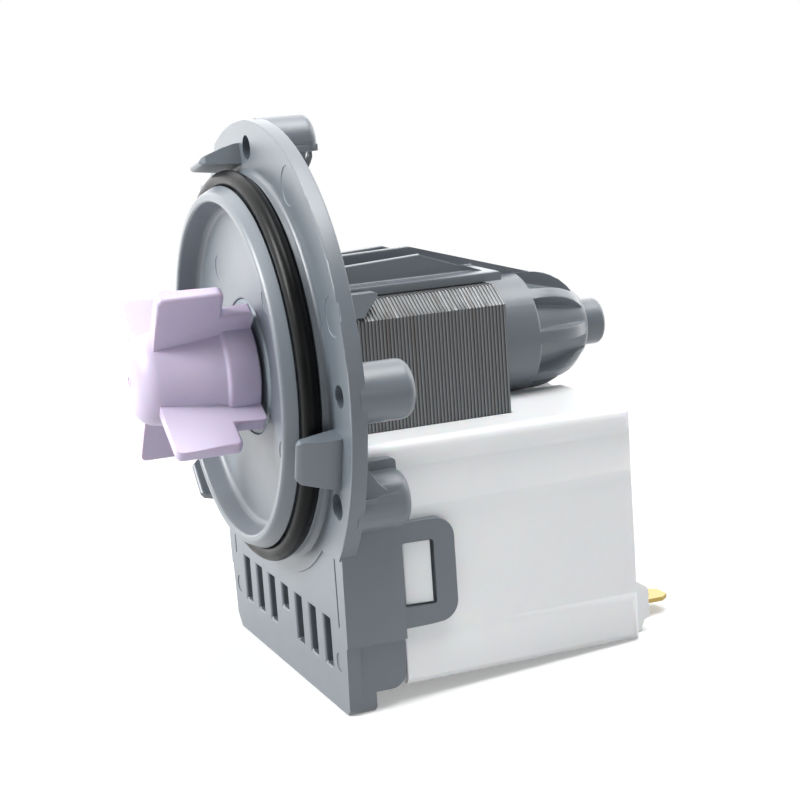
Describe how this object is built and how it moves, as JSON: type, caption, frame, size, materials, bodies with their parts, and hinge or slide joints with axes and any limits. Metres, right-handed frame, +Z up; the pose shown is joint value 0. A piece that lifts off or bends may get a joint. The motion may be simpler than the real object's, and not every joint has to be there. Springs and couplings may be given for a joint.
{
  "type": "washer drain pump",
  "caption": "Washing machine drain pump: synchronous motor with a wet rotor in a moulded can, vaned impeller, bayonet flange with ring seal, foot, clipped coil housing and blade terminals.",
  "frame": {"origin": "on the rotor axis, in the front face of the flange, at the centre of the circle of three screw holes", "axes": "-Y points along the rotor axis to the impeller's front, +Y to the rear of the motor, +Z is up, away from the foot, and +X is towards the side with the fourth screw hole"},
  "size_m": [0.087, 0.0933, 0.1004],
  "materials": {
    "cover": "moulded grey plastic, fine satin",
    "rubber": "black rubber, satin",
    "carrier": "moulded grey plastic",
    "bush": "dark graphite, smooth",
    "impeller": "lilac plastic, satin",
    "dog": "off-white plastic",
    "shaft": "ground stainless steel",
    "rotor_core": "moulded plastic",
    "magnet": "dark grey ferrite, ground",
    "washer": "tan plastic",
    "laminations": "sheet steel with dull cut edges",
    "bobbin": "cream plastic",
    "winding": "enamelled copper wire",
    "housing": "white plastic, fine satin",
    "terminal": "plain brass, slightly dull",
    "protector": "black plastic",
    "lead": "red insulation, semi-gloss"
  },
  "bodies": {
    "motor": {"pump_cover": "cover", "seal_ring": "rubber", "bearing_carrier": "carrier", "carrier_seal": "rubber", "shaft_lip_seal": "rubber", "front_bush_mount": "rubber", "front_bush": "bush", "rear_bush_mount": "rubber", "rear_bush": "bush", "stator_core": "laminations", "left_bobbin": "bobbin", "right_bobbin": "bobbin", "left_winding": "winding", "right_winding": "winding", "coil_housing": "housing", "left_terminal": "terminal", "right_terminal": "terminal", "thermal_protector": "protector", "left_lead": "lead", "right_lead": "lead", "coil_jumper": "lead"},
    "rotor": {"rotor_shaft": "shaft", "rotor_core": "rotor_core", "rotor_magnet": "magnet", "drive_dog": "dog", "front_thrust_washer": "washer", "rear_thrust_washer": "washer"},
    "impeller_wheel": {"impeller": "impeller", "impeller_hub_cap": "impeller"}
  },
  "joints": [
    {"name": "rotor_spin", "type": "hinge", "parent": "motor", "child": "rotor", "pos_m": [0, 0, 0], "axis": [0, 1, 0], "continuous": true},
    {"name": "impeller_lash", "type": "hinge", "parent": "rotor", "child": "impeller_wheel", "pos_m": [0, 0, 0], "axis": [0, 1, 0], "range_deg": [0, 170]}
  ]
}
